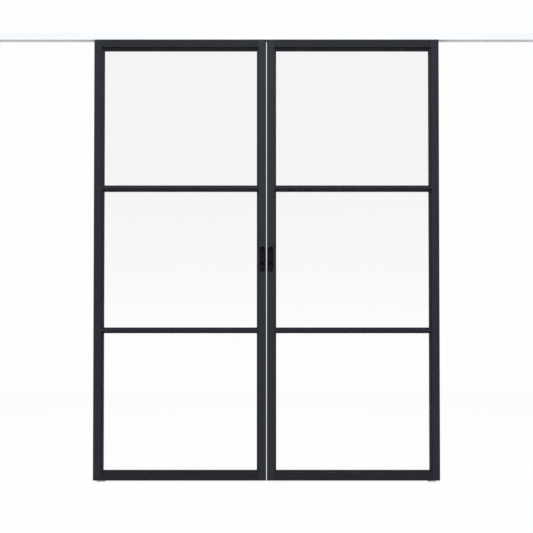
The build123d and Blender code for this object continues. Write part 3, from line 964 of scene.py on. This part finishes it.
@dataclass(frozen=True)
class LobedScrew:
    """A machine screw with a six-lobed drive, its tip at Z = 0 and its head upwards."""

    shank_radius: float
    head_radius: float
    head_height: float
    countersunk: bool
    tip: float = 0.4 * MM
    rim: float = 0.15 * MM
    dome: tuple[Point, ...] = ((1.0, 0.45), (0.95, 0.72), (0.82, 0.92))
    crown_share: float = 0.66
    drive_share: float = 0.5
    drive_depth_share: float = 0.6
    lobe_count: int = 6
    lobe_swing: float = 0.14
    steps: int = 48

    def body(self, length: float) -> bmesh.types.BMesh:
        """Models the screw.

        Args:
            length: From the tip to the top of the head.

        Returns:
            The closed screw.
        """
        neck = length - self.head_height
        drive = self.head_radius * self.drive_share
        outline = [(0.0, 0.0), (self.shank_radius - self.tip, 0.0), (self.shank_radius, self.tip)]
        outline.append((self.shank_radius, neck))
        if self.countersunk:
            outline += [(self.head_radius, length - self.rim), (self.head_radius - self.rim, length)]
        else:
            outline.append((self.head_radius, neck))
            for out, up in self.dome:
                outline.append((out * self.head_radius, neck + up * self.head_height))
            outline.append((self.crown_share * self.head_radius, length))
        outline.append((drive, length))
        body = lathe(outline, self.steps)
        self.sink_drive(body, drive)
        return body

    def sink_drive(self, body: bmesh.types.BMesh, radius: float) -> None:
        """Sinks the lobed drive into the open top of the head.

        Args:
            body: The screw, open inside the drive's radius.
            radius: The drive's mean radius.
        """
        rim = [edge for edge in body.edges if edge.is_boundary]
        for vert in {vert for edge in rim for vert in edge.verts}:
            angle = math.atan2(vert.co.y, vert.co.x)
            reach = radius * (1.0 + self.lobe_swing * math.cos(self.lobe_count * angle))
            vert.co.x = reach * math.cos(angle)
            vert.co.y = reach * math.sin(angle)
        made = bmesh.ops.extrude_edge_only(body, edges=rim)["geom"]
        floor = [item for item in made if isinstance(item, bmesh.types.BMVert)]
        depth = self.head_height * self.drive_depth_share
        bmesh.ops.translate(body, verts=floor, vec=(0.0, 0.0, -depth))
        bmesh.ops.holes_fill(body, edges=[edge for edge in body.edges if edge.is_boundary], sides=0)
        bmesh.ops.recalc_face_normals(body, faces=body.faces)


@dataclass(frozen=True)
class DishedPlug:
    """A push-in plug with a shallow dished face, its inner end at Z = 0."""

    lead: float = 0.6 * MM
    edge: float = 0.3 * MM
    round_share: float = 0.3
    rim: float = 1.0 * MM
    dish: float = 0.3 * MM
    steps: int = 32

    def body(self, radius: float, length: float) -> bmesh.types.BMesh:
        """Models the plug.

        Args:
            radius: The plug's radius.
            length: From its inner end to its rim.

        Returns:
            The closed plug.
        """
        corner = self.round_share * self.edge
        outline = [
            (0.0, 0.0), (radius - self.lead, 0.0), (radius, self.lead), (radius, length - self.edge),
            (radius - corner, length - corner), (radius - self.edge, length),
            (radius - self.rim, length), (radius - self.rim - self.dish, length - self.dish),
            (0.0, length - self.dish),
        ]
        return lathe(outline, self.steps)


@dataclass(frozen=True)
class HangerBolt:
    """A hexagonal bolt with a rolled thread, and its lock nut, each standing on Z = 0."""

    corner: float = 5.75 * MM
    head_height: float = 4.0 * MM
    chamfer: float = 0.5 * MM
    shank_radius: float = 3.0 * MM
    thread_depth: float = 0.35 * MM
    root_share: float = 1.2
    pitch: float = 1.0 * MM
    ridge_share: float = 0.88
    thread_steps: int = 18
    collar_height: float = 1.0 * MM
    collar_radius: float = 4.4 * MM
    steps: int = 36
    flats: int = 6

    def hexagon(self, low: float, high: float) -> bmesh.types.BMesh:
        """Models a hexagonal head or nut with chamfered ends.

        Args:
            low: Height of its lower face.
            high: Height of its upper face.

        Returns:
            The closed hexagon.
        """
        small = self.corner - self.chamfer
        return lathe(
            [(0.0, low), (small, low), (self.corner, low + self.chamfer),
             (self.corner, high - self.chamfer), (small, high), (0.0, high)],
            self.flats,
        )

    def thread(self, low: float, high: float) -> bmesh.types.BMesh:
        """Models the thread's ridge round the shank.

        Args:
            low: Height where the ridge starts.
            high: Height that it stays below.

        Returns:
            The closed ridge.
        """
        root = self.shank_radius - self.root_share * self.thread_depth
        ridge = self.pitch * self.ridge_share
        corners = [(root, low), (self.shank_radius, low + ridge / 2), (root, low + ridge)]
        body = bmesh.new()
        verts = [body.verts.new((radius, 0.0, height)) for radius, height in corners]
        edges = [body.edges.new(pair) for pair in zip(verts, [*verts[1:], verts[0]])]
        turns = int((high - low) / self.pitch) - 1
        bmesh.ops.spin(
            body, geom=[*verts, *edges], cent=(0.0, 0.0, 0.0), axis=(0.0, 0.0, 1.0),
            dvec=(0.0, 0.0, self.pitch / self.thread_steps), angle=math.tau * turns,
            steps=self.thread_steps * turns,
        )
        bmesh.ops.holes_fill(body, edges=[edge for edge in body.edges if edge.is_boundary], sides=0)
        bmesh.ops.recalc_face_normals(body, faces=body.faces)
        return body

    def bolt(self, mould: Mould, place: Place) -> None:
        """Adds a bolt with its head down.

        Args:
            mould: The mould that it goes into.
            place: The bolt's box.
        """
        seat = place.seat(UP)
        length = place.length(UP)
        core = self.shank_radius - self.thread_depth
        tip = length - self.chamfer
        mould.add(self.hexagon(0.0, self.head_height), seat)
        outline = [(0.0, self.chamfer), (core, self.chamfer), (core, tip)]
        outline += [(core - self.chamfer, length), (0.0, length)]
        mould.add(lathe(outline, self.steps), seat)
        mould.add(self.thread(self.head_height, tip), seat)

    def nut(self, mould: Mould, place: Place) -> None:
        """Adds a lock nut with its round collar upwards.

        Args:
            mould: The mould that it goes into.
            place: The nut's box.
        """
        seat = place.seat(UP)
        length = place.length(UP)
        shoulder = length - self.collar_height
        mould.add(self.hexagon(0.0, shoulder), seat)
        outline = [(0.0, self.chamfer), (self.collar_radius, self.chamfer)]
        outline += [(self.collar_radius, length - self.chamfer / 2)]
        outline += [(self.collar_radius - self.chamfer / 2, length), (0.0, length)]
        mould.add(lathe(outline, self.steps), seat)


@dataclass(frozen=True)
class Roller:
    """A hanger wheel: a moulded tyre on a sealed bearing, both standing on Z = 0."""

    bore: float = 2.6 * MM
    bearing_radius: float = 7.6 * MM
    ring: float = 1.3 * MM
    dish: float = 0.4 * MM
    shield: float = 0.9 * MM
    slope: float = 0.3 * MM
    chamfer: float = 0.8 * MM
    steps: int = 64

    def ring_body(self, half: list[Point], width: float) -> bmesh.types.BMesh:
        """Spins a ring that is the same on both sides.

        Args:
            half: The outline of its lower side, from the axis outwards.
            width: The ring's whole width.

        Returns:
            The closed ring.
        """
        other = [(radius, width - height) for radius, height in reversed(half)]
        return lathe([*half, *other], self.steps, ring=True)

    def tyre(self, radius: float, width: float) -> bmesh.types.BMesh:
        """Models the tyre, with a chamfered tread and a dished inner flange.

        Args:
            radius: The tread's radius.
            width: The tyre's width.

        Returns:
            The closed tyre.
        """
        inner = self.bearing_radius
        return self.ring_body(
            [(inner, self.dish), (inner + self.slope, self.dish), (inner + 2 * self.slope, 0.0),
             (radius - self.chamfer, 0.0), (radius, self.chamfer)],
            width,
        )

    def bearing(self, width: float) -> bmesh.types.BMesh:
        """Models the bearing's two rings with the sunk shield between them.

        Args:
            width: The tyre's width, within which the bearing lies.

        Returns:
            The closed bearing.
        """
        inner = self.bore + self.ring
        outer = self.bearing_radius - self.ring
        return self.ring_body(
            [(self.bore, self.dish), (inner, self.dish), (inner + self.slope, self.shield),
             (outer - self.slope, self.shield), (outer, self.dish), (self.bearing_radius, self.dish)],
            width,
        )


# The door


@dataclass(frozen=True)
class Leaf:
    """One leaf: the finish of each of its nodes, and the fittings that are modelled anew."""

    side: Side
    finishes: tuple[tuple[Finish, tuple[str, ...]], ...] = (
        (FRAME_COAT, ("outer_stile", "upper_glazing_bar", "lower_glazing_bar")),
        # The beads take the lighter copy of the frame coat, as painted light.
        (PAINTED_LIGHT_BEAD_COAT, ("glazing_beads",)),
        # The meeting stiles take the lighter copy of the frame coat, as painted light.
        (PAINTED_LIGHT_MEETING_COAT, ("meeting_stile",)),
        # The top and bottom rails take the darker copy of the frame coat, as painted shade.
        (PAINTED_SHADE_RAIL_COAT, ("top_rail", "bottom_rail")),
        (GLASS, ("upper_pane", "middle_pane", "lower_pane")),
        (SEAL_RUBBER, ("glazing_seals", "setting_blocks")),
        (PLATED_STEEL, ("frame_screws", "hanger_plates", "hanger_bolts")),
        # The lock case and latch bar are blackened steel, darkened further as painted shade in the
        # pull's slot.
        (BLACKENED_STEEL_AND_SHADE, ("lock_case", "latch_bar")),
        (DRAWN_STEEL, ("hook_bolt",)),
        (PLUG_PLASTIC, ("hole_plugs", "stile_plugs")),
        (PULL_BLACK, ("front_pull", "rear_pull", "edge_plate", "lock_screws")),
        (THUMB_COAT, ("thumb_slides",)),
        (ZINC_CASTING, ("hangers",)),
        (WHITE_NYLON, ("inner_wheels", "outer_wheels")),
    )
    eased: tuple[tuple[EasedEdges, tuple[str, ...]], ...] = (
        (EasedEdges(0.25 * MM), ("outer_stile", "meeting_stile", "top_rail", "bottom_rail",
                                 "upper_glazing_bar", "lower_glazing_bar")),
        (EasedEdges(0.3 * MM), ("glazing_seals", "front_pull", "rear_pull", "edge_plate")),
        (EasedEdges(0.4 * MM), ("thumb_slides", "hook_bolt", "hanger_plates", "hangers")),
    )
    cup_screw: LobedScrew = LobedScrew(2.0 * MM, 3.5 * MM, 2.0 * MM, countersunk=False)
    edge_screw: LobedScrew = LobedScrew(2.0 * MM, 3.6 * MM, 1.6 * MM, countersunk=True)
    plug: DishedPlug = DishedPlug()
    bolt: HangerBolt = HangerBolt()
    roller: Roller = Roller()

    def finish_of(self, piece: str) -> Finish:
        """The finish of one of the leaf's pieces."""
        return next(finish for finish, pieces in self.finishes if piece in pieces)

    def make(self, door: Construction) -> None:
        """Dresses the leaf's nodes and models its fittings.

        Args:
            door: The construction that the leaf is part of.
        """
        for finish, pieces in self.finishes:
            for piece in pieces:
                set_finish(door.nodes[self.side.node(piece)], finish)
        for ease, pieces in self.eased:
            for piece in pieces:
                ease.ease(door, self.side.node(piece), self.finish_of(piece))
        self.make_lock_screws(door)
        self.make_hole_plugs(door)
        self.make_hanger_bolts(door)
        for wheels in ("inner_wheels", "outer_wheels"):
            self.make_rollers(door, wheels)
        LOG.info("made the %s leaf", self.side.prefix)

    def make_lock_screws(self, door: Construction) -> None:
        """Models the screws of the cups, which lie along Y, and of the edge plate, along X.

        Args:
            door: The construction.
        """
        node = self.side.node("lock_screws")
        to_meeting_edge = Vector((-self.side.value, 0.0, 0.0))
        mould = Mould()
        for place in solids_of(door.nodes[node]):
            in_cup = place.size.y > place.size.x
            screw = self.cup_screw if in_cup else self.edge_screw
            direction = REARWARDS if in_cup else to_meeting_edge
            mould.add(screw.body(place.length(direction)), place.seat(direction))
        mould.cast(door, f"{node}_lobed", node, self.finish_of("lock_screws"))

    def make_hole_plugs(self, door: Construction) -> None:
        """Models the plugs, each facing out of the leaf's nearer edge.

        Args:
            door: The construction.
        """
        node = self.side.node("hole_plugs")
        low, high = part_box(node)
        middle = (low[0] + high[0]) / 2
        mould = Mould()
        for place in solids_of(door.nodes[node]):
            direction = Vector((math.copysign(1.0, place.middle.x - middle), 0.0, 0.0))
            body = self.plug.body(place.size.z / 2, place.length(direction))
            mould.add(body, place.seat(direction))
        mould.cast(door, f"{node}_dished", node, self.finish_of("hole_plugs"))

    def make_hanger_bolts(self, door: Construction) -> None:
        """Models the bolts, which are the tall solids, and their lock nuts.

        Args:
            door: The construction.
        """
        node = self.side.node("hanger_bolts")
        mould = Mould()
        for place in solids_of(door.nodes[node]):
            model = self.bolt.bolt if place.size.z > place.size.x else self.bolt.nut
            model(mould, place)
        mould.cast(door, f"{node}_threaded", node, self.finish_of("hanger_bolts"))

    def make_rollers(self, door: Construction, wheels: str) -> None:
        """Models the wheels of one hanger.

        Args:
            door: The construction.
            wheels: The node's name without its side.
        """
        node = self.side.node(wheels)
        tyres = Mould()
        bearings = Mould()
        for place in solids_of(door.nodes[node]):
            seat = place.seat(REARWARDS)
            width = place.length(REARWARDS)
            tyres.add(self.roller.tyre(place.size.z / 2, width), seat)
            bearings.add(self.roller.bearing(width), seat)
        tyres.cast(door, f"{node}_tyres", node, self.finish_of(wheels))
        bearings.cast(
            door, f"{node}_bearings", node, PLATED_STEEL, stands_in=False
        )


def set_finish(piece: bpy.types.Object, finish: Finish) -> None:
    """Puts a finish in every material slot of a piece.

    Args:
        piece: The piece, whose slots are overwritten.
        finish: The finish to show.
    """
    material = finish.material()
    if not piece.material_slots:
        piece.data.materials.append(material)
    for slot in piece.material_slots:
        slot.material = material
    LOG.info("%s: %s", piece.name, finish.name)


@dataclass(frozen=True)
class FixedGear:
    """What is screwed to the building: the head track, its stops and the floor guides."""

    finishes: tuple[tuple[Finish, tuple[str, ...]], ...] = (
        (TRACK_WHITE, ("head_track", "track_stops")),
        (SEAL_RUBBER, ("stop_buffers",)),
        (UNDYED_NYLON, ("floor_guides",)),
    )
    ease: EasedEdges = EasedEdges(0.5 * MM)
    eased: tuple[str, ...] = ("track_stops", "stop_buffers", "floor_guides")

    def make(self, door: Construction) -> None:
        """Dresses the fixed nodes and eases the moulded ones.

        Args:
            door: The construction.
        """
        for finish, nodes in self.finishes:
            for node in nodes:
                set_finish(door.nodes[node], finish)
                if node in self.eased:
                    self.ease.ease(door, node, finish)
        LOG.info("made the track and guides")


def main() -> None:
    """Builds the camera and the studio, and dresses the door."""
    door = Construction.loaded()
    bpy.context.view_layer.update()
    bpy.context.scene.view_settings.view_transform = "Standard"

    stile_low, stile_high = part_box("right_outer_stile")
    PhotoCamera().make(stile_high[2], stile_low[2], stile_low[1])
    Studio().make()

    for side in Side:
        Leaf(side).make(door)
    FixedGear().make(door)


if __name__ == "__main__":
    logging.basicConfig(level=logging.INFO, format="%(message)s")
    main()
